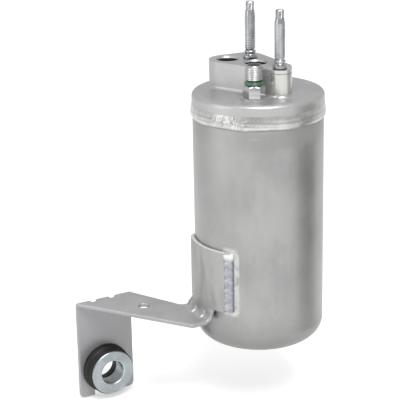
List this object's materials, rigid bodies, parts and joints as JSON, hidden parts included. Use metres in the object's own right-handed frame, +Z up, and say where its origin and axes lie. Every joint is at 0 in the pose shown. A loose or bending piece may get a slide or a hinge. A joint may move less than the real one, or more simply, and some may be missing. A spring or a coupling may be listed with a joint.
{
  "type": "receiver drier",
  "caption": "Car air-conditioning receiver drier: a welded aluminium can with a port block, studs and charge fitting, held by a folded bracket with a rubber isolator.",
  "frame": {"origin": "centre of the can's flat base", "axes": "+Z up the can's axis towards the ports; the bracket leaves the can towards -X; the isolator's bore runs along Y, open towards -Y"},
  "size_m": [0.1347, 0.101, 0.243],
  "materials": {
    "satin_aluminium": "satin",
    "machined_aluminium": "machined",
    "weld_aluminium": "rippled",
    "tube_aluminium": "drawn",
    "plate_aluminium": "pressed",
    "zinc_steel": "zinc plated",
    "bracket_metal": "mill finish",
    "spring_steel": "drawn wire",
    "mesh": "woven",
    "brass": "machined",
    "black_rubber": "moulded",
    "green_rubber": "smooth",
    "felt": "felt",
    "desiccant": "granular"
  },
  "bodies": {
    "drier": {"canister": "satin_aluminium", "head": "satin_aluminium", "girth_weld": "weld_aluminium", "inlet_stud": "zinc_steel", "outlet_stud": "zinc_steel", "charge_fitting": "machined_aluminium", "charge_fitting_o_ring": "green_rubber", "valve_core_body": "brass", "valve_core_spring": "spring_steel", "mounting_bracket": "bracket_metal", "saddle_weld_front": "weld_aluminium", "saddle_weld_rear": "weld_aluminium", "isolator_grommet": "black_rubber", "isolator_bush": "zinc_steel", "pickup_tube": "tube_aluminium", "pickup_strainer": "mesh", "lower_retainer_plate": "plate_aluminium", "lower_felt_pad": "felt", "desiccant_bed": "desiccant", "upper_felt_pad": "felt", "upper_retainer_plate": "plate_aluminium", "cartridge_spring": "spring_steel"},
    "valve_pin": {"valve_core_pin": "brass"}
  },
  "joints": [
    {"name": "valve_pin_press", "type": "slide", "parent": "drier", "child": "valve_pin", "axis": [0, 0, -1], "range_m": [0, 0.0012], "stiffness_N_per_m": 400, "springref_m": -0.002, "deforming": ["valve_core_spring"]}
  ]
}
